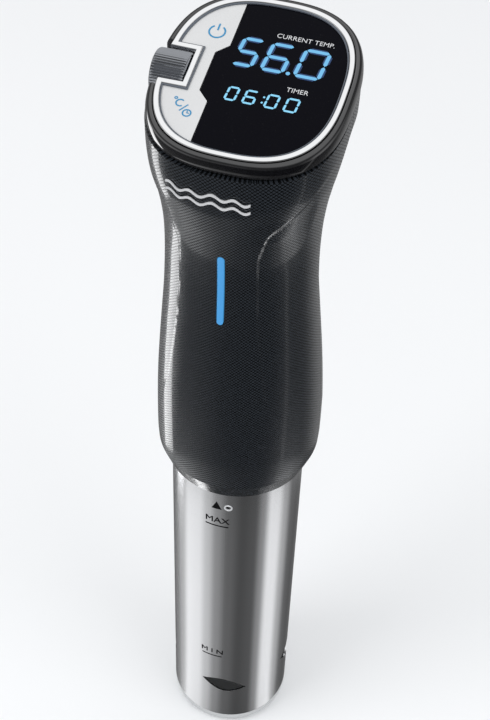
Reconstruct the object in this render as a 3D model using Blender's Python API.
"""Sous vide circulator: a stick that clips to a pot, heats the water and moves it past the food.

+Z is up, -Y is the front and the origin is where the stick's axis meets the floor under the end cap.
Lengths are in metres. Fits come from the sizes below and the named clearances.
"""

import math

import bmesh
import bpy
from mathutils import Matrix, Vector

MM = 0.001

# Clearances
GAP = 0.3 * MM  # between pieces that rest on, or sit in, each other
RUNNING_GAP = 0.25 * MM  # radial, a turning piece in its bore
OVERCUT = 2.0 * MM  # how far a cutter goes past what it cuts

# Round pieces
FINE_SEGMENTS = 48
SEGMENTS = 32
SMALL_SEGMENTS = 16
SHELL_SEGMENTS = 22  # along each half's outline

# Sleeve and end cap
SLEEVE_R = 30.0 * MM
SLEEVE_WALL = 0.8 * MM
SLEEVE_TOP = 216.0 * MM
CAP_HEIGHT = 8.0 * MM
CAP_EDGE_R = 6.0 * MM
CAP_FLOOR = 2.5 * MM
CAP_WALL = 2.0 * MM
CAP_SPIGOT = 6.0 * MM
SLOT_COUNT = 4
SLOT_WIDTH = 23.0 * MM
SLOT_HEIGHT = 11.0 * MM
SLOT_Z = 38.0 * MM
SLOT_TURN = math.radians(9.5)
DETENT_HOLE_R = 1.3 * MM
DETENT_HOLE_Z = 188.0 * MM
DETENT_TURN = math.radians(9.0)

# Lock ring that holds the sleeve's top
LOCK_RING_WALL = 1.5 * MM
LOCK_RING_BOTTOM = 203.0 * MM
LOCK_RING_TOP = 215.0 * MM

# Housing: its lip clears the sleeve, and its belly and waist are set off from the lip
SHELL_BOTTOM = 200.3 * MM
SHELL_WALL = 2.2 * MM
LIP_CLEARANCE = 0.5 * MM
LIP_R = SLEEVE_R + LIP_CLEARANCE + SHELL_WALL
LIP_CHAMFER = (3.2 * MM, 9.0 * MM)  # outwards and up
BELLY_R = LIP_R + 3.5 * MM
BELLY_RISE = 15.0 * MM
WAIST_R = LIP_R - 0.1 * MM
WAIST_Z = 320.0 * MM
# Share of the way up from belly to waist, and how much of the drop in radius is done there
BELLY_TO_WAIST = ((0.17, 0.02), (0.34, 0.13), (0.5, 0.34), (0.66, 0.6), (0.82, 0.86), (1.0, 1.0))
# Share of the way up from waist to head, how much of the growth is done there, and squareness
WAIST_TO_HEAD = (
    (0.2, 0.07, 2.0), (0.38, 0.28, 2.1), (0.54, 0.58, 2.25), (0.7, 0.86, 2.45), (0.85, 0.99, 2.6),
)

# Head
FACE_Z = 396.0 * MM
FACE_BACK = 4.2 * MM
FACE_TILT = math.radians(13.0)
FACE_HALF_WIDTH = 34.3 * MM
FACE_HALF_DEPTH = 38.4 * MM
FACE_SQUARENESS = 2.7
RING_WIDTH = 2.3 * MM
RING_HEIGHT = 2.2 * MM
BAND_HEIGHT = 6.5 * MM
BAND_OUT = 2.9 * MM
BAND_LEDGE = 1.8 * MM
# The band's outer side: (share of its width outside the ring, share of its height below the face)
BAND_SIDE = ((1.0, 1.0), (0.97, 0.55), (0.8, 0.25), (0.55, 0.08))
GASKET_HEIGHT = 1.4 * MM
GASKET_WIDTH = 1.2 * MM
GLASS_DEPTH = 1.3 * MM
GLASS_THICKNESS = 1.3 * MM
CARRIER_THICKNESS = 1.6 * MM
DIVIDER_X = -13.1 * MM
DIVIDER_STEP = 4.3 * MM
DIVIDER_SLANT = 4.4 * MM
DIVIDER_GAP = 0.4 * MM
DIVIDER_STEP_MARGIN = 1.5 * MM

# Scroll wheel and its notch
WHEEL_R = 9.0 * MM
WHEEL_WIDTH = 13.2 * MM
WHEEL_OUT = 4.0 * MM
WHEEL_Y = -1.0 * MM
WHEEL_DEPTH = 7.0 * MM
WHEEL_RIBS = 24
WHEEL_RIB = 0.35 * MM
WHEEL_SHAFT_R = 1.3 * MM
POCKET_WALL = 1.0 * MM
POCKET_CLEARANCE = 0.7 * MM
POCKET_OUT = 1.2 * MM
WHEEL_BEVEL = 0.8 * MM
WHEEL_END = 1.2 * MM  # thickness of the wheel's closed end
ENCODER_SIZE = (6.5 * MM, 11.0 * MM, 9.0 * MM)

# Light bar
LIGHT_BAR_LENGTH = 35.2 * MM
LIGHT_BAR_WIDTH = 2.6 * MM
LIGHT_BAR_Z = 322.8 * MM
LIGHT_BAR_PROUD = 0.25 * MM
LED_BOARD_THICKNESS = 1.2 * MM
LED_BOARD_WIDTH = 6.0 * MM
LIGHT_BAR_BEHIND = 1.5 * MM  # how far the lens reaches behind the shell's wall

# Bulkhead that closes the housing above the water
BULKHEAD_BOTTOM = 200.6 * MM
FLANGE_BOTTOM = 219.2 * MM
FLANGE_TOP = 224.0 * MM
FLANGE_CLEARANCE = 0.7 * MM
SEAL_RING_R = 0.9 * MM

# Shaft, guide tube and impeller
SHAFT_R = 2.5 * MM
SHAFT_BOTTOM = 27.0 * MM
GUIDE_WALL = 1.4 * MM
GUIDE_BOTTOM = 62.0 * MM
BUSHING_LENGTH = 9.0 * MM
BUSHING_WALL = 1.6 * MM
SHAFT_SEAL_R = 7.0 * MM
SHAFT_SEAL_HEIGHT = 4.4 * MM
IMPELLER_R = 19.0 * MM
IMPELLER_BOTTOM = 29.0 * MM
IMPELLER_HEIGHT = 15.0 * MM
IMPELLER_BLADES = 5
IMPELLER_HUB_WALL = 3.0 * MM
IMPELLER_BLADE = (1.6 * MM, math.radians(20.0))  # thickness and lean
PUMP_PLATE_CLEARANCE = 2.2 * MM
PUMP_PLATE_R = SLEEVE_R - SLEEVE_WALL - PUMP_PLATE_CLEARANCE
PUMP_PLATE_BORE_CLEARANCE = 1.5 * MM
PUMP_WINDOWS = 4
PUMP_PLATE_Z = 54.0 * MM
PUMP_PLATE_THICKNESS = 2.0 * MM
PUMP_WINDOW_R = 5.5 * MM
PUMP_POSTS = 3
PUMP_POST_R = 1.5 * MM

# Heater and probes
HEATER_TUBE_R = 3.3 * MM
HEATER_COIL_R = 19.0 * MM
HEATER_TURNS = 4
HEATER_BOTTOM = 68.0 * MM
HEATER_TOP = 168.0 * MM
HEATER_BEND = 5.0 * MM
LEG_OVER_FLANGE = 6.0 * MM
PROBE_R = 2.0 * MM
PROBE_TIP_Z = 74.0 * MM
LEVEL_ROD_R = 1.2 * MM
MIN_LEVEL_Z = 66.0 * MM
MAX_LEVEL_Z = 126.0 * MM
PROBE_CIRCLE_R = 10.5 * MM
PROBE_OVER_FLANGE = 5.0 * MM

# Motor and fan
MOTOR_R = 17.5 * MM
MOTOR_WALL = 1.3 * MM
MOTOR_BOTTOM = 232.0 * MM
MOTOR_HEIGHT = 50.0 * MM
MOTOR_MOUNT_BOTTOM = 225.2 * MM
MOTOR_MOUNT_THICKNESS = 3.0 * MM
MOTOR_MOUNT_HOLE_CLEARANCE = 1.0 * MM
MOTOR_COLLAR_HEIGHT = 9.0 * MM
MOTOR_COLLAR_WALL = 2.2 * MM
ROTOR_INSET = 7.0 * MM
ROTOR_AIR_GAP = 1.2 * MM
MAGNET_WALL = 3.2 * MM
MAGNET_INSET = 6.0 * MM
MAGNET_END = math.radians(12.0)
ROTOR_CORE_R = MOTOR_R - MOTOR_WALL - GAP - MAGNET_WALL - ROTOR_AIR_GAP - 1.0 * MM
FAN_R = 15.0 * MM
FAN_HEIGHT = 6.0 * MM
FAN_BLADES = 7
FAN_HUB_WALL = 2.5 * MM
FAN_BLADE = (1.2 * MM, math.radians(35.0))  # thickness and lean
FAN_OVER_MOTOR = 4.0 * MM
BLADE_INSET = 1.0 * MM  # a blade stops this far inside its hub's ends
SHAFT_OVER_FAN = 3.0 * MM

# Boards
POWER_BOARD_SIZE = (26.0 * MM, 1.6 * MM, 58.0 * MM)
POWER_BOARD_Y = 22.0 * MM
POWER_BOARD_BOTTOM = 252.0 * MM
CONTROL_BOARD_SIZE = (46.0 * MM, 52.0 * MM, 1.6 * MM)
CONTROL_BOARD_DEPTH = 15.0 * MM
DISPLAY_SIZE = (34.0 * MM, 36.0 * MM, 4.0 * MM)
DISPLAY_X = 10.0 * MM
DISPLAY_Y = 2.0 * MM
DISPLAY_LIP = 2.0 * MM
CONTROL_BOARD_X = 3.0 * MM
CHIP_LOW = (2.0 * MM, -8.0 * MM)
CHIP_SIZE = (12.0 * MM, 12.0 * MM, 1.6 * MM)
HEATSINK_SIZE = (12.0 * MM, 3.2 * MM, 18.0 * MM)
HEATSINK_X = -11.0 * MM
HEATSINK_RISE = 36.0 * MM
CAPACITOR_R = 4.0 * MM
CAPACITOR_X = 7.0 * MM
CAPACITOR_RISE = 39.0 * MM
CAPACITOR_HEIGHT = 15.0 * MM

# Cable gland at the back of the head
GLAND_Z = 352.0 * MM
GLAND_R = 6.0 * MM
GLAND_BORE_R = 3.4 * MM
GLAND_OUT = 9.0 * MM
GLAND_IN = 8.0 * MM
GLAND_FLANGE = 1.6 * MM
GLAND_FLANGE_OUT = 2.4 * MM
GLAND_TIP_WALL = 1.2 * MM

# Vents at the back
VENT_COUNT = 5
VENT_PITCH = 4.0 * MM
VENT_SIZE = (20.0 * MM, 1.6 * MM)
VENT_Z = 308.0 * MM

# Pot clamp at the back
CLAMP_REACH = 11.8 * MM
CLAMP_PIVOT_Y = BELLY_R + CLAMP_REACH
CLAMP_PIVOT_Z = 250.0 * MM
CLAMP_PIN_R = 2.0 * MM
BRACKET_WIDTH = 26.0 * MM
BRACKET_EAR = 4.0 * MM
BRACKET_HEIGHT = 26.0 * MM
BRACKET_NOSE = 2.6 * MM
BRACKET_CORNER = (6.0 * MM, 8.0 * MM)  # cut off towards the pivot: along Y and along Z
BRACKET_ROOM = 3.2 * MM
PIN_OVER_BRACKET = 1.0 * MM
LEVER_WIDTH = 16.8 * MM
LEVER_THICKNESS = 3.2 * MM
LEVER_TOP = 292.0 * MM
LEVER_BOTTOM = 174.0 * MM
LEVER_TOP_LEAN = 9.0 * MM
LEVER_BOSS_WALL = 2.2 * MM
JAW_GAP = 8.0 * MM
PAD_THICKNESS = 3.0 * MM
PAD_HEIGHT = 18.0 * MM
SPRING_WIRE_R = 0.7 * MM
SPRING_TURNS = 5

# Screws
SCREW_R = 1.5 * MM
SCREW_HEAD_R = 2.8 * MM
SCREW_HEAD_HEIGHT = 1.8 * MM
SCREW_LENGTH = 7.0 * MM
MOTOR_SCREWS = 4
MOTOR_SCREW_SPACE = 2.2 * MM
MOTOR_SCREW_CIRCLE_R = MOTOR_R + GAP + MOTOR_COLLAR_WALL + MOTOR_SCREW_SPACE + SCREW_HEAD_R
MOTOR_MOUNT_EDGE = 5.0 * MM
MOTOR_MOUNT_R = MOTOR_SCREW_CIRCLE_R + MOTOR_MOUNT_EDGE

HEAD_FRAME = Matrix.Translation((0, FACE_BACK, FACE_Z)) @ Matrix.Rotation(FACE_TILT, 4, "X")


# ---------------------------------------------------------------- tools


def clear_scene():
    for item in list(bpy.data.objects):
        bpy.data.objects.remove(item, do_unlink=True)


def finish(name, colour, roughness, metallic=0.0):
    material = bpy.data.materials.new(name)
    material.use_nodes = True
    shader = material.node_tree.nodes["Principled BSDF"]
    shader.inputs["Base Color"].default_value = (*colour, 1.0)
    shader.inputs["Roughness"].default_value = roughness
    shader.inputs["Metallic"].default_value = metallic
    material.diffuse_color = (*colour, 1.0)
    return material


def make_object(name, bm, material, smooth_angle=35.0, helper=False):
    bmesh.ops.recalc_face_normals(bm, faces=bm.faces)
    mesh = bpy.data.meshes.new(name)
    bm.to_mesh(mesh)
    bm.free()
    mesh.shade_smooth()
    mesh.set_sharp_from_angle(angle=math.radians(smooth_angle))
    item = bpy.data.objects.new(name, mesh)
    bpy.context.collection.objects.link(item)
    if material is not None:
        mesh.materials.append(material)
    if helper:
        item.hide_render = True
        item.display_type = "WIRE"
    return item


def add_faces(bm, loops, closed_across):
    """Quads between neighbouring loops of equally many points, each loop closed."""
    pairs = zip(loops, loops[1:] + loops[:1]) if closed_across else zip(loops, loops[1:])
    for low, high in pairs:
        for i in range(len(low)):
            j = (i + 1) % len(low)
            bm.faces.new((low[i], low[j], high[j], high[i]))


def loft(name, loops, material, ring=False, smooth_angle=35.0, helper=False):
    """A solid through closed loops of points: capped at both ends, or a ring that closes on its first loop."""
    bm = bmesh.new()
    rows = [[bm.verts.new(point) for point in loop] for loop in loops]
    add_faces(bm, rows, ring)
    if not ring:
        bm.faces.new(rows[0])
        bm.faces.new(rows[-1])
    return make_object(name, bm, material, smooth_angle, helper)


def circle(radius, z, segments, centre=(0.0, 0.0)):
    steps = [2 * math.pi * (i + 0.5) / segments for i in range(segments)]
    return [Vector((centre[0] + radius * math.cos(a), centre[1] + radius * math.sin(a), z)) for a in steps]


def lathe(name, profile, material, segments=SEGMENTS, smooth_angle=35.0):
    """A turned ring: the profile is a closed loop of (radius, height) that stays off the axis."""
    loops = [circle(radius, z, segments) for radius, z in profile]
    return loft(name, loops, material, ring=True, smooth_angle=smooth_angle)


def turned(name, profile, material, segments=SEGMENTS, smooth_angle=35.0, helper=False):
    """A turned solid with flat ends: the profile goes from the bottom end's rim to the top end's rim."""
    loops = [circle(radius, z, segments) for radius, z in profile]
    return loft(name, loops, material, smooth_angle=smooth_angle, helper=helper)


def box(name, low, high, material, helper=False):
    corners = [(low[0], low[1]), (high[0], low[1]), (high[0], high[1]), (low[0], high[1])]
    loops = [[Vector((x, y, z)) for x, y in corners] for z in (low[2], high[2])]
    return loft(name, loops, material, helper=helper)


def prism(name, outline, z_low, z_high, material, helper=False):
    loops = [[Vector((x, y, z)) for x, y in outline] for z in (z_low, z_high)]
    return loft(name, loops, material, helper=helper)


def frame_prism(name, outer, inner, z_low, z_high, material):
    """A flat frame between two outlines of equally many points."""
    rows = [(outer, z_low), (outer, z_high), (inner, z_high), (inner, z_low)]
    loops = [[Vector((x, y, z)) for x, y in outline] for outline, z in rows]
    return loft(name, loops, material, ring=True)


def sweep_loops(path, radius, sides):
    """Circles square to a path of points, carried along it without twist."""
    loops = []
    side = None
    for i, point in enumerate(path):
        ahead = path[min(i + 1, len(path) - 1)] - path[max(i - 1, 0)]
        ahead.normalize()
        if side is None:
            side = ahead.orthogonal()
        side = (side - ahead * side.dot(ahead)).normalized()
        up = ahead.cross(side)
        steps = [2 * math.pi * k / sides for k in range(sides)]
        loops.append([point + radius * (math.cos(a) * side + math.sin(a) * up) for a in steps])
    return loops


def rod(name, path, radius, material, sides=SMALL_SEGMENTS, helper=False):
    points = [Vector(point) for point in path]
    return loft(name, sweep_loops(points, radius, sides), material, smooth_angle=50.0, helper=helper)


def pipe(name, start, end, outer, inner, material, sides=SMALL_SEGMENTS):
    ends = [Vector(start), Vector(end)]
    outside = sweep_loops(ends, outer, sides)
    inside = sweep_loops(ends, inner, sides)
    return loft(name, [outside[0], outside[1], inside[1], inside[0]], material, ring=True)


def combine(item, other, operation="DIFFERENCE"):
    modifier = item.modifiers.new(operation.lower(), "BOOLEAN")
    modifier.object = other
    modifier.operation = operation
    modifier.solver = "EXACT"
    return item


def in_head(item, head):
    item.parent = head
    return item


# ---------------------------------------------------------------- outlines


def squircle(half_width, half_depth, squareness, segments=FINE_SEGMENTS, first=0.0, last=2 * math.pi):
    """Points on a rounded rectangle, from one angle to another."""
    power = 2.0 / squareness
    whole = abs(last - first - 2 * math.pi) < 1e-9
    count = segments if whole else segments + 1
    points = []
    for i in range(count):
        angle = first + (last - first) * i / segments
        c, s = math.cos(angle), math.sin(angle)
        x = half_width * math.copysign(abs(c) ** power, c)
        y = half_depth * math.copysign(abs(s) ** power, s)
        points.append((x, y))
    return points


def notch_wall_x():
    return -(FACE_HALF_WIDTH + WHEEL_OUT - WHEEL_WIDTH - POCKET_CLEARANCE)


def notch_half():
    depth = max(WHEEL_DEPTH - RING_HEIGHT, 0.0)
    return math.sqrt(WHEEL_R**2 - depth**2) + POCKET_CLEARANCE / 2


def squircle_angle(half_depth, y):
    """The angle on the left side at which the outline has this y."""
    s = math.copysign((abs(y) / half_depth) ** (FACE_SQUARENESS / 2.0), y)
    return math.pi - math.asin(s)


def face_outline(inset, notch_inset=None):
    """The face's edge with the wheel's notch in its left side, moved inwards."""
    notch_inset = inset if notch_inset is None else notch_inset
    half_width, half_depth = FACE_HALF_WIDTH - inset, FACE_HALF_DEPTH - inset
    top, bottom = WHEEL_Y + notch_half() + notch_inset, WHEEL_Y - notch_half() - notch_inset
    first = squircle_angle(half_depth, bottom) - 2 * math.pi
    last = squircle_angle(half_depth, top)
    wall = notch_wall_x() + notch_inset
    edge = squircle(half_width, half_depth, FACE_SQUARENESS, FINE_SEGMENTS, first, last)
    return edge + [(wall, top), (wall, bottom)]


def divider(side):
    """The line between the two face panels, from back to front, with its step beside the wheel."""
    x = DIVIDER_X + side * DIVIDER_GAP / 2
    top = WHEEL_Y + notch_half() + DIVIDER_STEP_MARGIN
    bottom = WHEEL_Y - notch_half() - DIVIDER_STEP_MARGIN
    near = x - DIVIDER_STEP
    return [(x, top + DIVIDER_SLANT), (near, top), (near, bottom), (x, bottom - DIVIDER_SLANT)]


def edge_crossing(a, b, x):
    t = (x - a[0]) / (b[0] - a[0])
    return (x, a[1] + t * (b[1] - a[1]))


def panel_outline(side):
    """The left (-1) or right (+1) face panel, inside the trim ring."""
    edge = face_outline(RING_WIDTH + GAP)
    x = DIVIDER_X + side * DIVIDER_GAP / 2
    crossings = []
    kept = []
    for a, b in zip(edge, edge[1:] + edge[:1]):
        if (a[0] - x) * side > 0:
            kept.append(a)
        if (a[0] - x) * (b[0] - x) < 0:
            point = edge_crossing(a, b, x)
            crossings.append((len(kept), point))
            kept.append(point)
    # The edge runs counter-clockwise, so it leaves the right side at the back, and so does the left panel.
    start = max(crossings, key=lambda crossing: crossing[1][1])[0]
    line = divider(side)
    if side > 0:
        return kept[:start + 1] + line + kept[start + 1:]
    return kept[:start] + line[::-1] + kept[start:]


def housing_sections():
    """The housing's outside, up from its lip.

    A row is its height, half width, half depth, squareness, shift to the back and tilt.
    """
    band_width, band_depth = FACE_HALF_WIDTH + BAND_OUT, FACE_HALF_DEPTH + BAND_OUT
    head_low = FACE_Z - (BAND_HEIGHT + GAP) / math.cos(FACE_TILT)
    span = head_low - WAIST_Z
    belly = SHELL_BOTTOM + BELLY_RISE
    out, up = LIP_CHAMFER
    rounds = [(SHELL_BOTTOM, LIP_R), (SHELL_BOTTOM + up, LIP_R + out), (belly, BELLY_R)]
    for share, drop in BELLY_TO_WAIST:
        rounds.append((belly + share * (WAIST_Z - belly), BELLY_R + (WAIST_R - BELLY_R) * drop))
    rows = [(z, radius, radius, 2.0, 0.0, 0.0) for z, radius in rounds]
    for share, grow, squareness in WAIST_TO_HEAD:
        rows.append((
            WAIST_Z + share * span,
            WAIST_R + (band_width - WAIST_R) * grow,
            WAIST_R + (band_depth - WAIST_R) * grow,
            squareness,
            FACE_BACK * grow,
            FACE_TILT * share * grow,
        ))
    rows.append((head_low, band_width, band_depth, FACE_SQUARENESS, FACE_BACK, FACE_TILT))
    return rows


def section_loop(row, inset, half=None):
    """A section's outline as points in space: all of it, or the half that starts at this angle."""
    z, half_width, half_depth, squareness, back, tilt = row
    place = Matrix.Translation((0, back, z)) @ Matrix.Rotation(tilt, 4, "X")
    size = (half_width - inset, half_depth - inset, squareness)
    if half is None:
        outline = squircle(*size)
    else:
        seam = math.asin((GAP / 2 / half_depth) ** (squareness / 2))
        outline = squircle(*size, SHELL_SEGMENTS, half + seam, half + math.pi - seam)
    return [place @ Vector((x, y, 0)) for x, y in outline]


def housing_solid(name, offset):
    """The whole housing's outside, moved outwards: a cutter for what sits against it."""
    loops = [section_loop(row, -offset) for row in housing_sections()]
    return loft(name, loops, None, helper=True)


# ---------------------------------------------------------------- sleeve group


def make_end_cap(material):
    inner = SLEEVE_R - SLEEVE_WALL - GAP
    arc = [math.pi / 2 * i / 4 for i in range(5)]
    edge = [
        (SLEEVE_R - CAP_EDGE_R * (1 - math.sin(a)), CAP_EDGE_R * (1 - math.cos(a)))
        for a in arc
    ]
    bottom = circle(edge[0][0], 0.0, FINE_SEGMENTS)
    loops = [bottom] + [circle(r, z, FINE_SEGMENTS) for r, z in edge[1:]]
    loops += [circle(SLEEVE_R, CAP_HEIGHT, FINE_SEGMENTS), circle(inner, CAP_HEIGHT, FINE_SEGMENTS)]
    loops += [circle(inner, CAP_HEIGHT + CAP_SPIGOT, FINE_SEGMENTS)]
    loops += [circle(inner - CAP_WALL, CAP_HEIGHT + CAP_SPIGOT, FINE_SEGMENTS)]
    loops += [circle(inner - CAP_WALL, CAP_EDGE_R, FINE_SEGMENTS)]
    loops += [circle(inner - CAP_WALL - CAP_EDGE_R / 2, CAP_FLOOR, FINE_SEGMENTS)]
    return loft("end_cap", loops, material)


def slot_cutter(angle, index):
    """A leaf-shaped cutter: two arcs that meet in points, pushed through the sleeve's wall."""
    steps = 8
    upper = []
    for i in range(steps + 1):
        upper.append((SLOT_WIDTH * (i / steps - 0.5), SLOT_HEIGHT / 2 * math.sin(math.pi * i / steps)))
    outline = upper + [(x, -y) for x, y in upper[-2:0:-1]]
    turn = Matrix.Rotation(angle, 4, "Z")
    near, far = SLEEVE_R - 4 * OVERCUT, SLEEVE_R + 2 * OVERCUT
    loops = [[turn @ Vector((x, -depth, SLOT_Z + z)) for x, z in outline] for depth in (near, far)]
    return loft(f"cut_slot_{index}", loops, None, helper=True)


def make_sleeve(material):
    outer, inner = SLEEVE_R, SLEEVE_R - SLEEVE_WALL
    bottom = CAP_HEIGHT + GAP
    sleeve = lathe(
        "steel_sleeve",
        [(outer, bottom), (outer, SLEEVE_TOP), (inner, SLEEVE_TOP), (inner, bottom)],
        material,
        FINE_SEGMENTS,
    )
    for index in range(SLOT_COUNT):
        combine(sleeve, slot_cutter(SLOT_TURN + 2 * math.pi * index / SLOT_COUNT, index))
    turn = Matrix.Rotation(DETENT_TURN, 4, "Z")
    path = [turn @ Vector((0, -depth, DETENT_HOLE_Z)) for depth in (SLEEVE_R - 2 * OVERCUT, SLEEVE_R + OVERCUT)]
    return combine(sleeve, rod("cut_detent_hole", path, DETENT_HOLE_R, None, helper=True))


def make_lock_ring(material):
    outer = SLEEVE_R - SLEEVE_WALL - GAP
    inner = outer - LOCK_RING_WALL
    low, high = LOCK_RING_BOTTOM, LOCK_RING_TOP
    return lathe(
        "sleeve_lock_ring",
        [(outer, low), (outer, high), (inner, high), (inner, low)],
        material,
        FINE_SEGMENTS,
    )


# ---------------------------------------------------------------- wet end


def make_bulkhead(material):
    boss = SLEEVE_R - SLEEVE_WALL - GAP - LOCK_RING_WALL - GAP
    flange = flange_r()
    seal_floor = FLANGE_TOP - SHAFT_SEAL_HEIGHT - GAP
    bore = SHAFT_R + 2 * RUNNING_GAP
    profile = [
        (bore, BULKHEAD_BOTTOM),
        (boss, BULKHEAD_BOTTOM),
        (boss, FLANGE_BOTTOM),
        (flange, FLANGE_BOTTOM),
        (flange, FLANGE_TOP),
        (SHAFT_SEAL_R + GAP, FLANGE_TOP),
        (SHAFT_SEAL_R + GAP, seal_floor),
        (bore, seal_floor),
    ]
    bulkhead = lathe("bulkhead", profile, material, FINE_SEGMENTS)
    holes = [((x, 0.0), HEATER_TUBE_R) for x in (-HEATER_COIL_R, HEATER_COIL_R)]
    holes += [(place, radius) for place, radius in probe_places()]
    for index, (place, radius) in enumerate(holes):
        ends = [(*place, BULKHEAD_BOTTOM - OVERCUT), (*place, FLANGE_TOP + OVERCUT)]
        combine(bulkhead, rod(f"cut_bulkhead_{index}", ends, radius + 2 * GAP, None, 12, helper=True))
    return bulkhead


def flange_r():
    return BELLY_R - SHELL_WALL - FLANGE_CLEARANCE


def probe_places():
    """Where the three probes hang: the temperature probe, then the two level rods."""
    places = []
    for turn, radius in ((90.0, PROBE_R), (215.0, LEVEL_ROD_R), (325.0, LEVEL_ROD_R)):
        angle = math.radians(turn)
        place = (PROBE_CIRCLE_R * math.cos(angle), PROBE_CIRCLE_R * math.sin(angle))
        places.append((place, radius))
    return places


def make_bulkhead_seal(material):
    centre = flange_r() - SEAL_RING_R
    z = FLANGE_BOTTOM - GAP - SEAL_RING_R
    steps = [math.pi / 3 * i for i in range(6)]
    profile = [(centre + SEAL_RING_R * math.cos(a), z + SEAL_RING_R * math.sin(a)) for a in steps]
    return lathe("bulkhead_seal", profile, material, SEGMENTS)


def make_heater(material):
    """A tubular heater: its leg comes down through the bulkhead and coils round the guide tube."""
    x, z_top = HEATER_COIL_R, FLANGE_TOP + LEG_OVER_FLANGE
    steps = HEATER_TURNS * 16 + 8
    path = [(x, 0, z_top), (x, 0, HEATER_TOP + 2.2 * HEATER_BEND), (x, 0, HEATER_TOP + HEATER_BEND)]
    for i in range(steps + 1):
        angle = 2 * math.pi * (HEATER_TURNS + 0.5) * i / steps
        z = HEATER_TOP + (HEATER_BOTTOM - HEATER_TOP) * i / steps
        path.append((HEATER_COIL_R * math.cos(angle), HEATER_COIL_R * math.sin(angle), z))
    return rod("heater_coil", path, HEATER_TUBE_R, material, sides=8)


def make_probes(steel):
    names = ("temperature_probe", "level_rod_min", "level_rod_max")
    bottoms = (PROBE_TIP_Z, MIN_LEVEL_Z, MAX_LEVEL_Z)
    for name, bottom, (place, radius) in zip(names, bottoms, probe_places()):
        rod(name, [(*place, bottom), (*place, FLANGE_TOP + PROBE_OVER_FLANGE)], radius, steel)


def guide_inner_r():
    return SHAFT_R + RUNNING_GAP + BUSHING_WALL + GAP


def make_guide_tube(material):
    inner = guide_inner_r()
    ends = (0, 0, GUIDE_BOTTOM), (0, 0, BULKHEAD_BOTTOM - GAP)
    return pipe("shaft_guide_tube", *ends, inner + GUIDE_WALL, inner, material, 24)


def make_bushing(material):
    inner = SHAFT_R + RUNNING_GAP
    top = GUIDE_BOTTOM + BUSHING_LENGTH
    return pipe("lower_bushing", (0, 0, GUIDE_BOTTOM), (0, 0, top), inner + BUSHING_WALL, inner, material, 24)


def make_shaft_seal(material):
    inner = SHAFT_R + RUNNING_GAP
    bottom = FLANGE_TOP - SHAFT_SEAL_HEIGHT
    return pipe("shaft_seal", (0, 0, bottom), (0, 0, FLANGE_TOP), SHAFT_SEAL_R, inner, material, 24)


def make_pump_plate(material):
    """The fixed disc over the impeller, with windows that let water up past the coil."""
    low, high = PUMP_PLATE_Z, PUMP_PLATE_Z + PUMP_PLATE_THICKNESS
    inner = SHAFT_R + PUMP_PLATE_BORE_CLEARANCE
    plate = lathe("pump_plate", [(PUMP_PLATE_R, low), (PUMP_PLATE_R, high), (inner, high), (inner, low)], material)
    for index in range(PUMP_WINDOWS):
        angle = 2 * math.pi * (index + 0.5) / PUMP_WINDOWS
        radius = (inner + PUMP_PLATE_R) / 2
        place = (radius * math.cos(angle), radius * math.sin(angle))
        ends = [(*place, low - OVERCUT), (*place, high + OVERCUT)]
        combine(plate, rod(f"cut_pump_plate_{index}", ends, PUMP_WINDOW_R, None, helper=True))
    return plate


def make_pump_posts(material):
    """The posts that hold the pump plate under the bulkhead."""
    radius = HEATER_COIL_R + HEATER_TUBE_R + GAP + PUMP_POST_R
    for index in range(PUMP_POSTS):
        angle = 2 * math.pi * (index + 0.5) / PUMP_POSTS
        place = (radius * math.cos(angle), radius * math.sin(angle))
        ends = [(*place, PUMP_PLATE_Z + PUMP_PLATE_THICKNESS + GAP), (*place, BULKHEAD_BOTTOM - GAP)]
        rod(f"pump_post_{index + 1}", ends, PUMP_POST_R, material, sides=12)


# ---------------------------------------------------------------- turning group


def blades(name, count, inner, outer, low, high, blade):
    thickness, lean = blade
    bm = bmesh.new()
    for index in range(count):
        turn = Matrix.Rotation(2 * math.pi * index / count, 4, "Z")
        tilt = Matrix.Rotation(lean, 4, "X")
        middle = (low + high) / 2
        half = (high - low) / 2
        rows = []
        for z in (-half, half):
            side = thickness / 2
            corners = [(inner, -side), (outer, -side), (outer, side), (inner, side)]
            place = turn @ Matrix.Translation((0, 0, middle)) @ tilt
            rows.append([bm.verts.new(place @ Vector((x, y, z))) for x, y in corners])
        add_faces(bm, rows, False)
        bm.faces.new(rows[0])
        bm.faces.new(rows[1])
    return make_object(name, bm, None, helper=True)


def bladed_wheel(name, count, hub_wall, radius, low, high, blade, material):
    inner = SHAFT_R + GAP
    outer = inner + hub_wall
    hub = lathe(name, [(outer, low), (outer, high), (inner, high), (inner, low)], material, SMALL_SEGMENTS)
    root = inner + hub_wall / 2
    fan = blades(f"blades_{name}", count, root, radius, low + BLADE_INSET, high - BLADE_INSET, blade)
    return combine(hub, fan, "UNION")


def motor_top():
    return MOTOR_BOTTOM + MOTOR_HEIGHT


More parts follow.
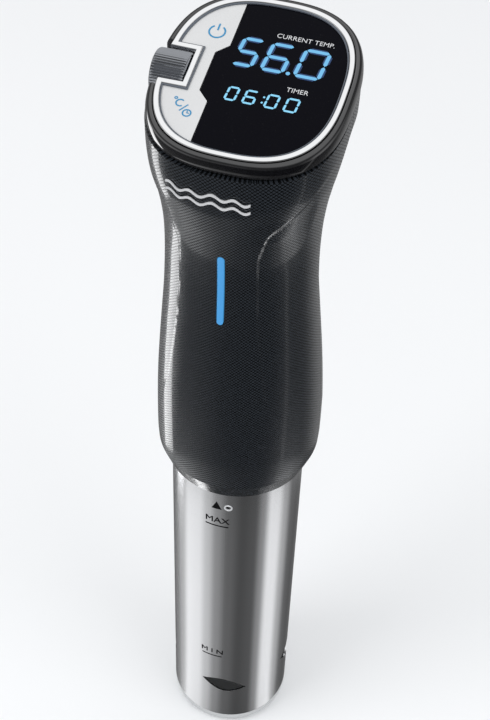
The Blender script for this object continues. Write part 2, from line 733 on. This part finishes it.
def make_turning_group(steel, iron, plastic, axis):
    fan_low = motor_top() + FAN_OVER_MOTOR
    fan_high = fan_low + FAN_HEIGHT
    shaft = rod("drive_shaft", [(0, 0, SHAFT_BOTTOM), (0, 0, fan_high + SHAFT_OVER_FAN)], SHAFT_R, steel, 24)
    core_low, core_high = MOTOR_BOTTOM + ROTOR_INSET, motor_top() - ROTOR_INSET
    inner = SHAFT_R + GAP
    profile = [(ROTOR_CORE_R, core_low), (ROTOR_CORE_R, core_high), (inner, core_high), (inner, core_low)]
    core = lathe("motor_rotor", profile, iron, SMALL_SEGMENTS)
    fan = bladed_wheel("cooling_fan", FAN_BLADES, FAN_HUB_WALL, FAN_R, fan_low, fan_high, FAN_BLADE, plastic)
    impeller_high = IMPELLER_BOTTOM + IMPELLER_HEIGHT
    impeller = bladed_wheel("impeller", IMPELLER_BLADES, IMPELLER_HUB_WALL, IMPELLER_R, IMPELLER_BOTTOM,
                            impeller_high, IMPELLER_BLADE, plastic)
    for item in (shaft, core, fan, impeller):
        item.parent = axis


# ---------------------------------------------------------------- dry end


def make_motor(steel, magnet, plastic):
    bore = SHAFT_R + RUNNING_GAP
    low, high = MOTOR_BOTTOM, motor_top()
    inner = MOTOR_R - MOTOR_WALL
    profile = [
        (bore, low), (MOTOR_R, low), (MOTOR_R, high), (bore, high),
        (bore, high - MOTOR_WALL), (inner, high - MOTOR_WALL), (inner, low + MOTOR_WALL), (bore, low + MOTOR_WALL),
    ]
    lathe("motor_case", profile, steel, 24)
    outer = inner - GAP
    steps = 12
    for index, side in enumerate(("right", "left")):
        first = math.pi * index - math.pi / 2 + MAGNET_END
        span = math.pi - 2 * MAGNET_END
        angles = [first + span * i / steps for i in range(steps + 1)]
        arc = [(outer * math.cos(a), outer * math.sin(a)) for a in angles]
        near = outer - MAGNET_WALL
        back = [(near * math.cos(a), near * math.sin(a)) for a in reversed(angles)]
        prism(f"motor_magnet_{side}", arc + back, low + MAGNET_INSET, high - MAGNET_INSET, magnet)
    base, top = MOTOR_MOUNT_BOTTOM, MOTOR_MOUNT_BOTTOM + MOTOR_MOUNT_THICKNESS
    collar_inner = MOTOR_R + GAP
    collar_outer = collar_inner + MOTOR_COLLAR_WALL
    collar_top = top + MOTOR_COLLAR_HEIGHT
    profile = [
        (SHAFT_SEAL_R + GAP, base), (MOTOR_MOUNT_R, base), (MOTOR_MOUNT_R, top), (collar_outer, top),
        (collar_outer, collar_top), (collar_inner, collar_top), (collar_inner, top), (SHAFT_SEAL_R + GAP, top),
    ]
    mount = lathe("motor_mount", profile, plastic, SEGMENTS)
    places = [((-HEATER_COIL_R, 0.0), HEATER_TUBE_R), ((HEATER_COIL_R, 0.0), HEATER_TUBE_R)] + list(probe_places())
    for index, (place, radius) in enumerate(places):
        ends = [(*place, base - OVERCUT), (*place, collar_top + OVERCUT)]
        hole = radius + MOTOR_MOUNT_HOLE_CLEARANCE
        combine(mount, rod(f"cut_motor_mount_{index}", ends, hole, None, 12, helper=True))
    return mount


def make_power_board(board, aluminium, dark):
    width, thickness, height = POWER_BOARD_SIZE
    low = (-width / 2, POWER_BOARD_Y, POWER_BOARD_BOTTOM)
    high = (width / 2, POWER_BOARD_Y + thickness, POWER_BOARD_BOTTOM + height)
    box("power_board", low, high, board)
    front = POWER_BOARD_Y - GAP
    width, thickness, height = HEATSINK_SIZE
    sink_low = POWER_BOARD_BOTTOM + HEATSINK_RISE
    low = (HEATSINK_X, front - thickness, sink_low)
    high = (HEATSINK_X + width, front, sink_low + height)
    box("triac_heatsink", low, high, aluminium)
    middle = front - GAP - CAPACITOR_R
    bottom = POWER_BOARD_BOTTOM + CAPACITOR_RISE
    ends = [(CAPACITOR_X, middle, bottom), (CAPACITOR_X, middle, bottom + CAPACITOR_HEIGHT)]
    rod("power_capacitor", ends, CAPACITOR_R, dark, 20)


def light_bar_outline(grow):
    half, radius = LIGHT_BAR_LENGTH / 2 - LIGHT_BAR_WIDTH / 2, LIGHT_BAR_WIDTH / 2 + grow
    steps = 6
    angles = [math.pi * i / steps for i in range(steps + 1)]
    top = [(radius * math.cos(a), half + radius * math.sin(a)) for a in angles]
    return top + [(-x, -y) for x, y in top]


def light_bar_solid(name, grow, near, far, material, helper=False):
    loops = [[Vector((x, -depth, LIGHT_BAR_Z + z)) for x, z in light_bar_outline(grow)] for depth in (near, far)]
    return loft(name, loops, material, helper=helper)


def make_light_bar(lens, board):
    """The lens keeps the housing's curve: it is the bar's shape shared with a slightly larger housing."""
    inner = WAIST_R - SHELL_WALL - LIGHT_BAR_BEHIND
    bar = light_bar_solid("light_bar", 0.0, inner, BELLY_R + 2 * OVERCUT, lens)
    combine(bar, housing_solid("keep_light_bar", LIGHT_BAR_PROUD), "INTERSECT")
    front = GAP - inner
    side = LED_BOARD_WIDTH / 2
    half = LIGHT_BAR_LENGTH / 2 + 2 * GAP
    low = (-side, front, LIGHT_BAR_Z - half)
    high = (side, front + LED_BOARD_THICKNESS, LIGHT_BAR_Z + half)
    box("light_bar_board", low, high, board)


def make_shells(material, head):
    """Front and rear shells that meet along the sides."""
    made = []
    sections = housing_sections()
    for name, half in (("front_shell", math.pi), ("rear_shell", 0.0)):
        outer = [section_loop(row, 0.0, half) for row in sections]
        inner = [section_loop(row, SHELL_WALL, half) for row in sections]
        loops = [outside + inside[::-1] for outside, inside in zip(outer, inner)]
        made.append(loft(name, loops, material))
    for shell in made:
        for cutter in notch_cutters(shell.name):
            combine(shell, in_head(cutter, head))
    front, rear = made
    near, far = WAIST_R - SHELL_WALL - 3 * OVERCUT, BELLY_R + 3 * OVERCUT
    combine(front, light_bar_solid("cut_light_bar", GAP, near, far, None, True))
    for index in range(VENT_COUNT):
        z = VENT_Z + VENT_PITCH * index
        width, height = VENT_SIZE
        low = (-width / 2, WAIST_R - SHELL_WALL - 3 * OVERCUT, z - height / 2)
        high = (width / 2, BELLY_R + 2 * OVERCUT, z + height / 2)
        combine(rear, box(f"cut_vent_{index}", low, high, None, helper=True))
    back = gland_wall_y()
    ends = [(0, back - 2 * GLAND_IN, GLAND_Z), (0, back + GLAND_OUT, GLAND_Z)]
    combine(rear, rod("cut_gland", ends, GLAND_R + GAP, None, sides=20, helper=True))


def make_gland(material):
    """A ring with a flange on the outside, for the mains cord; the cord itself isn't here."""
    back = gland_wall_y()
    rim, top = GLAND_R + GLAND_FLANGE_OUT, GAP + GLAND_FLANGE
    profile = [
        (GLAND_R, -GLAND_IN), (GLAND_R, GAP), (rim, GAP), (rim, top), (GLAND_R - GAP, top),
        (GLAND_BORE_R + GLAND_TIP_WALL, GLAND_OUT), (GLAND_BORE_R, GLAND_OUT), (GLAND_BORE_R, -GLAND_IN),
    ]
    loops = []
    for radius, out in profile:
        loops.append([Vector((p.x, back + out, GLAND_Z + p.y)) for p in circle(radius, 0.0, 20)])
    return loft("cable_gland", loops, material, ring=True)


def gland_wall_y():
    """How far back the housing reaches at the top of the gland's flange."""
    z = GLAND_Z + GLAND_R + GLAND_FLANGE_OUT
    rim = []
    for height, _, half_depth, _, back, tilt in housing_sections():
        rim.append((height + half_depth * math.sin(tilt), back + half_depth * math.cos(tilt)))
    for (low_z, low_y), (high_z, high_y) in zip(rim, rim[1:]):
        if low_z <= z <= high_z:
            return low_y + (high_y - low_y) * (z - low_z) / (high_z - low_z)
    return rim[-1][1]


# ---------------------------------------------------------------- head


def head_loop(inset, z):
    outline = squircle(FACE_HALF_WIDTH - inset, FACE_HALF_DEPTH - inset, FACE_SQUARENESS)
    return [Vector((x, y, z)) for x, y in outline]


def make_head_band(material, head):
    ledge_top = seat_z() - GASKET_HEIGHT - GAP
    ledge_bottom = ledge_top - BAND_LEDGE
    rows = [(-BAND_OUT * out, -BAND_HEIGHT * down) for out, down in BAND_SIDE]
    rows += [
        (-4 * GAP, -GAP),
        (-GAP, -2 * GAP),
        (-GAP, ledge_top),
        (RING_WIDTH, ledge_top),
        (RING_WIDTH, ledge_bottom),
        (SHELL_WALL - BAND_OUT, -BAND_HEIGHT),
    ]
    band = loft("head_band", [head_loop(inset, z) for inset, z in rows], material, ring=True)
    in_head(band, head)
    for cutter in notch_cutters("head_band"):
        combine(band, in_head(cutter, head))
    return band


def pocket_sizes():
    """The wheel pocket's inside: (wall x, half length, floor z, top z)."""
    floor = -WHEEL_DEPTH - WHEEL_R - POCKET_CLEARANCE
    top = seat_z()
    return notch_wall_x(), WHEEL_R + POCKET_CLEARANCE, floor, top


def notch_cutters(owner):
    """The room for the wheel pocket, and above it the narrower notch in the face."""
    wall, half, floor, top = pocket_sizes()
    far = -(FACE_HALF_WIDTH + 6 * OVERCUT)
    deep = box(
        f"cut_pocket_{owner}",
        (far, WHEEL_Y - half - POCKET_WALL - GAP, floor - POCKET_WALL - GAP),
        (wall + POCKET_WALL + GAP, WHEEL_Y + half + POCKET_WALL + GAP, top + GAP),
        None,
        helper=True,
    )
    shallow = box(
        f"cut_notch_{owner}",
        (far, WHEEL_Y - notch_half(), top),
        (wall + POCKET_WALL, WHEEL_Y + notch_half(), 5 * OVERCUT),
        None,
        helper=True,
    )
    return deep, shallow


def make_wheel_pocket(material, head):
    wall, half, floor, top = pocket_sizes()
    far = -(FACE_HALF_WIDTH + POCKET_OUT)
    low = (far, WHEEL_Y - half - POCKET_WALL, floor - POCKET_WALL)
    high = (wall + POCKET_WALL, WHEEL_Y + half + POCKET_WALL, top)
    pocket = box("wheel_pocket", low, high, material)
    in_head(pocket, head)
    low = (far - OVERCUT, WHEEL_Y - half, floor)
    high = (wall, WHEEL_Y + half, top + OVERCUT)
    combine(pocket, in_head(box("cut_pocket_hollow", low, high, None, helper=True), head))
    ends = [(wall - OVERCUT, WHEEL_Y, -WHEEL_DEPTH), (wall + OVERCUT, WHEEL_Y, -WHEEL_DEPTH)]
    bore = rod("cut_pocket_shaft", ends, WHEEL_SHAFT_R + RUNNING_GAP, None, helper=True)
    combine(pocket, in_head(bore, head))
    return pocket


def make_wheel(chrome, steel, axis):
    """The ribbed wheel and its shaft, about the axis empty."""
    inner_face = notch_wall_x() - POCKET_CLEARANCE / 2
    outer_face = inner_face - WHEEL_WIDTH
    bore = WHEEL_SHAFT_R + GAP
    bore_end = outer_face + WHEEL_END

    def loop(x, radius, rib=0.0):
        points = []
        for i in range(2 * WHEEL_RIBS):
            angle = math.pi * i / WHEEL_RIBS
            reach = radius - rib * (i % 2)
            points.append(Vector((x, reach * math.cos(angle), reach * math.sin(angle))))
        return points

    loops = [
        loop(outer_face, WHEEL_R - WHEEL_BEVEL, WHEEL_RIB),
        loop(outer_face + WHEEL_BEVEL, WHEEL_R, WHEEL_RIB),
        loop(inner_face - WHEEL_BEVEL, WHEEL_R, WHEEL_RIB),
        loop(inner_face, WHEEL_R - WHEEL_BEVEL, WHEEL_RIB),
        loop(inner_face, bore),
        loop(bore_end, bore),
        loop(bore_end, bore / 5),
    ]
    wheel = loft("scroll_wheel", loops, chrome, smooth_angle=20.0)
    shaft_end = inner_face + POCKET_CLEARANCE / 2 + POCKET_WALL + GAP + ENCODER_SIZE[0] / 2
    shaft = rod("wheel_shaft", [(bore_end + GAP, 0, 0), (shaft_end, 0, 0)], WHEEL_SHAFT_R, steel)
    wheel.parent = axis
    shaft.parent = axis


def make_encoder(material, head):
    width, depth, height = ENCODER_SIZE
    near = notch_wall_x() + POCKET_WALL + GAP
    top = carrier_bottom() - GAP
    low = (near, WHEEL_Y - depth / 2, top - height)
    high = (near + width, WHEEL_Y + depth / 2, top)
    encoder = in_head(box("wheel_encoder", low, high, material), head)
    ends = [(near - OVERCUT, WHEEL_Y, -WHEEL_DEPTH), (near + width / 2 + GAP, WHEEL_Y, -WHEEL_DEPTH)]
    hole = in_head(rod("cut_encoder", ends, WHEEL_SHAFT_R + RUNNING_GAP, None, helper=True), head)
    return combine(encoder, hole)


def seat_z():
    """The height that the gasket and the carrier reach up to, under both the trim ring and the panels."""
    return min(-RING_HEIGHT, -GLASS_DEPTH - GLASS_THICKNESS) - GAP


def carrier_bottom():
    return seat_z() - CARRIER_THICKNESS


def make_face(chrome, white, glass, plastic, rubber, head):
    """Trim ring, gasket, the two panels and the carrier under them."""
    outer, inner = face_outline(0.0), face_outline(RING_WIDTH)
    in_head(frame_prism("trim_ring", outer, inner, -RING_HEIGHT, 0.0, chrome), head)
    gasket_top = seat_z()
    around_pocket = pocket_sizes()[1] + POCKET_WALL + GAP - notch_half()
    gasket_outer = face_outline(GAP, around_pocket)
    gasket_inner = face_outline(GAP + GASKET_WIDTH, around_pocket + GASKET_WIDTH)
    gasket_bottom = gasket_top - GASKET_HEIGHT
    in_head(frame_prism("face_gasket", gasket_outer, gasket_inner, gasket_bottom, gasket_top, rubber), head)
    low, high = -GLASS_DEPTH - GLASS_THICKNESS, -GLASS_DEPTH
    in_head(prism("touch_panel", panel_outline(-1), low, high, white), head)
    in_head(prism("display_glass", panel_outline(1), low, high, glass), head)
    outline = face_outline(2 * GAP + GASKET_WIDTH, around_pocket + GASKET_WIDTH + GAP)
    carrier = in_head(prism("face_carrier", outline, carrier_bottom(), seat_z(), plastic), head)
    half_width, half_depth = DISPLAY_SIZE[0] / 2 - DISPLAY_LIP, DISPLAY_SIZE[1] / 2 - DISPLAY_LIP
    low = (DISPLAY_X - half_width, DISPLAY_Y - half_depth, carrier_bottom() - OVERCUT)
    high = (DISPLAY_X + half_width, DISPLAY_Y + half_depth, seat_z() + OVERCUT)
    return combine(carrier, in_head(box("cut_window", low, high, None, helper=True), head))


def make_head_electronics(board, dark, head):
    width, depth, height = DISPLAY_SIZE
    top = carrier_bottom() - GAP
    in_head(box("display_module", (DISPLAY_X - width / 2, DISPLAY_Y - depth / 2, top - height),
                (DISPLAY_X + width / 2, DISPLAY_Y + depth / 2, top), dark), head)
    width, depth, height = CONTROL_BOARD_SIZE
    low = (CONTROL_BOARD_X - width / 2, -depth / 2, -CONTROL_BOARD_DEPTH - height)
    high = (CONTROL_BOARD_X + width / 2, depth / 2, -CONTROL_BOARD_DEPTH)
    in_head(box("control_board", low, high, board), head)
    low = Vector((*CHIP_LOW, GAP - CONTROL_BOARD_DEPTH))
    in_head(box("control_chip", low, low + Vector(CHIP_SIZE), dark), head)


# ---------------------------------------------------------------- clamp


def make_bracket(material):
    half = BRACKET_WIDTH / 2
    low_z, high_z = CLAMP_PIVOT_Z - BRACKET_HEIGHT / 2, CLAMP_PIVOT_Z + BRACKET_HEIGHT / 2
    back = CLAMP_PIVOT_Y + CLAMP_PIN_R + BRACKET_NOSE
    near = WAIST_R - 3 * OVERCUT
    corner_y, corner_z = BRACKET_CORNER
    outline = [
        (near, low_z), (CLAMP_PIVOT_Y - corner_y, low_z), (back, low_z + corner_z),
        (back, high_z - corner_z), (CLAMP_PIVOT_Y - corner_y, high_z), (near, high_z),
    ]
    loops = [[Vector((x, y, z)) for y, z in outline] for x in (-half, half)]
    bracket = loft("clamp_bracket", loops, material)
    combine(bracket, housing_solid("cut_bracket_seat", GAP))
    ear = half - BRACKET_EAR
    low = (-ear, CLAMP_PIVOT_Y - LEVER_THICKNESS / 2 - BRACKET_ROOM, low_z - OVERCUT)
    combine(bracket, box("cut_bracket_room", low, (ear, back + OVERCUT, high_z + OVERCUT), None, helper=True))
    ends = [(-half - OVERCUT, CLAMP_PIVOT_Y, CLAMP_PIVOT_Z), (half + OVERCUT, CLAMP_PIVOT_Y, CLAMP_PIVOT_Z)]
    return combine(bracket, rod("cut_bracket_pin", ends, CLAMP_PIN_R + RUNNING_GAP, None, helper=True))


def pad_face_y():
    return SLEEVE_R + JAW_GAP


def make_lever(material, axis):
    """A bent strap: handle above the pivot, jaw leg below it, with a round boss on the pin."""
    t = LEVER_THICKNESS / 2
    jaw = pad_face_y() + PAD_THICKNESS + GAP + t
    middle = CLAMP_PIVOT_Y
    spine = [
        (jaw, LEVER_BOTTOM),
        (jaw, LEVER_BOTTOM + PAD_HEIGHT + OVERCUT),
        (middle + 2 * MM, CLAMP_PIVOT_Z - 24 * MM),
        (middle, CLAMP_PIVOT_Z),
        (middle + 1 * MM, CLAMP_PIVOT_Z + 18 * MM),
        (middle + 6 * MM, LEVER_TOP - 6 * MM),
        (middle + LEVER_TOP_LEAN, LEVER_TOP),
    ]
    sides = []
    for i, (y, z) in enumerate(spine):
        a, b = spine[max(i - 1, 0)], spine[min(i + 1, len(spine) - 1)]
        along = Vector((b[0] - a[0], b[1] - a[1])).normalized()
        sides.append(((y + along.y * t, z - along.x * t), (y - along.y * t, z + along.x * t)))
    outline = [near for near, _ in sides] + [far for _, far in reversed(sides)]
    half = LEVER_WIDTH / 2
    loops = [[Vector((x, y, z)) - axis.location for y, z in outline] for x in (-half, half)]
    lever = loft("clamp_lever", loops, material)
    lever.parent = axis
    ends = [(GAP - half, 0, 0), (half - GAP, 0, 0)]
    boss = rod("add_lever_boss", ends, CLAMP_PIN_R + LEVER_BOSS_WALL, None, helper=True)
    boss.parent = axis
    combine(lever, boss, "UNION")
    ends = [(-half - OVERCUT, 0, 0), (half + OVERCUT, 0, 0)]
    bore = rod("cut_lever_bore", ends, CLAMP_PIN_R + RUNNING_GAP, None, helper=True)
    bore.parent = axis
    combine(lever, bore)
    corner = Vector((spring_half() + GAP, LEVER_THICKNESS + 4 * OVERCUT, spring_outer_r() + GAP))
    room = box("cut_lever_spring", -corner, corner, None, helper=True)
    room.parent = axis
    return combine(lever, room)


def spring_coil_r():
    return CLAMP_PIN_R + GAP + SPRING_WIRE_R


def spring_outer_r():
    return spring_coil_r() + SPRING_WIRE_R


def spring_half():
    return SPRING_TURNS * SPRING_WIRE_R * 1.35 + SPRING_WIRE_R


def make_clamp_spring(material, axis):
    half = spring_half() - SPRING_WIRE_R
    steps = SPRING_TURNS * 10
    path = []
    radius = spring_coil_r()
    for i in range(steps + 1):
        angle = 2 * math.pi * SPRING_TURNS * i / steps
        path.append((-half + 2 * half * i / steps, radius * math.cos(angle), radius * math.sin(angle)))
    spring = rod("clamp_spring", path, SPRING_WIRE_R, material, sides=5)
    spring.parent = axis
    return spring


def make_clamp_pin(material):
    half = BRACKET_WIDTH / 2 + PIN_OVER_BRACKET
    ends = [(-half, CLAMP_PIVOT_Y, CLAMP_PIVOT_Z), (half, CLAMP_PIVOT_Y, CLAMP_PIVOT_Z)]
    return rod("clamp_pin", ends, CLAMP_PIN_R, material, 24)


def make_pad(material, axis):
    half = LEVER_WIDTH / 2
    low = Vector((-half, pad_face_y(), LEVER_BOTTOM)) - axis.location
    high = Vector((half, pad_face_y() + PAD_THICKNESS, LEVER_BOTTOM + PAD_HEIGHT)) - axis.location
    pad = box("clamp_pad", low, high, material)
    pad.parent = axis
    return pad


# ---------------------------------------------------------------- fasteners


def screw(name, head_top, inward, length, material):
    """A cap screw: head first, then the shank along the inward direction."""
    inward = Vector(inward).normalized()
    start = Vector(head_top)
    under = start + inward * SCREW_HEAD_HEIGHT
    path = [start, under, under, under + inward * length]
    radii = (SCREW_HEAD_R, SCREW_HEAD_R, SCREW_R, SCREW_R)
    loops = []
    for point, radius in zip(path, radii):
        loops.append(sweep_loops([point, point + inward * MM], radius, 12)[0])
    return loft(name, loops, material)


def make_motor_screws(material, held):
    """The screws that hold the motor mount on the bulkhead, and their holes in both."""
    mount_top = MOTOR_MOUNT_BOTTOM + MOTOR_MOUNT_THICKNESS
    for index in range(MOTOR_SCREWS):
        angle = 2 * math.pi * (index + 0.5) / MOTOR_SCREWS
        place = (MOTOR_SCREW_CIRCLE_R * math.cos(angle), MOTOR_SCREW_CIRCLE_R * math.sin(angle))
        head_top = (*place, mount_top + GAP + SCREW_HEAD_HEIGHT)
        screw(f"motor_screw_{index + 1}", head_top, (0, 0, -1), SCREW_LENGTH, material)
        tip = mount_top + GAP - SCREW_LENGTH - GAP
        for piece in held:
            ends = [(*place, tip), (*place, mount_top + OVERCUT)]
            combine(piece, rod(f"cut_screw_{piece.name}_{index}", ends, SCREW_R + GAP, None, 12, helper=True))


def main():
    clear_scene()
    knurl_black = finish("knurled_black", (0.012, 0.012, 0.013), 0.32)
    gloss_black = finish("gloss_black", (0.006, 0.006, 0.007), 0.08)
    inner_black = finish("inner_black", (0.03, 0.03, 0.032), 0.5)
    chrome = finish("chrome", (0.85, 0.86, 0.87), 0.06, 1.0)
    dark_chrome = finish("dark_chrome", (0.10, 0.10, 0.11), 0.16, 1.0)
    steel = finish("brushed_steel", (0.62, 0.62, 0.62), 0.28, 1.0)
    iron = finish("laminated_iron", (0.30, 0.30, 0.31), 0.45, 1.0)
    white = finish("pearl_white", (0.78, 0.79, 0.80), 0.25)
    grey = finish("cap_grey", (0.55, 0.56, 0.57), 0.4)
    rubber = finish("seal_rubber", (0.05, 0.05, 0.05), 0.7)
    board = finish("board_green", (0.02, 0.14, 0.07), 0.45)
    blue = finish("light_blue", (0.05, 0.35, 0.85), 0.3)
    bronze = finish("bushing_bronze", (0.55, 0.38, 0.16), 0.35, 1.0)

    head = bpy.data.objects.new("head_frame", None)
    head.matrix_world = HEAD_FRAME
    wheel_axis = bpy.data.objects.new("wheel_axis", None)
    wheel_axis.parent = head
    wheel_axis.location = (0, WHEEL_Y, -WHEEL_DEPTH)
    rotor_axis = bpy.data.objects.new("rotor_axis", None)
    clamp_axis = bpy.data.objects.new("clamp_axis", None)
    clamp_axis.location = (0, CLAMP_PIVOT_Y, CLAMP_PIVOT_Z)
    for empty in (head, wheel_axis, rotor_axis, clamp_axis):
        bpy.context.collection.objects.link(empty)

    make_end_cap(grey)
    make_sleeve(steel)
    make_lock_ring(inner_black)

    bulkhead = make_bulkhead(inner_black)
    make_bulkhead_seal(rubber)
    make_heater(steel)
    make_probes(steel)
    make_guide_tube(steel)
    make_bushing(bronze)
    make_shaft_seal(rubber)
    make_pump_plate(inner_black)
    make_pump_posts(steel)
    make_turning_group(steel, iron, inner_black, rotor_axis)

    mount = make_motor(steel, iron, inner_black)
    make_motor_screws(steel, (mount, bulkhead))
    make_power_board(board, steel, inner_black)

    make_shells(knurl_black, head)
    make_light_bar(blue, board)
    make_gland(inner_black)
    make_head_band(gloss_black, head)
    make_face(chrome, white, gloss_black, inner_black, rubber, head)
    make_wheel_pocket(inner_black, head)
    make_wheel(dark_chrome, steel, wheel_axis)
    make_encoder(inner_black, head)
    make_head_electronics(board, inner_black, head)

    make_bracket(inner_black)
    make_clamp_pin(steel)
    make_lever(steel, clamp_axis)
    make_clamp_spring(steel, clamp_axis)
    make_pad(rubber, clamp_axis)


main()
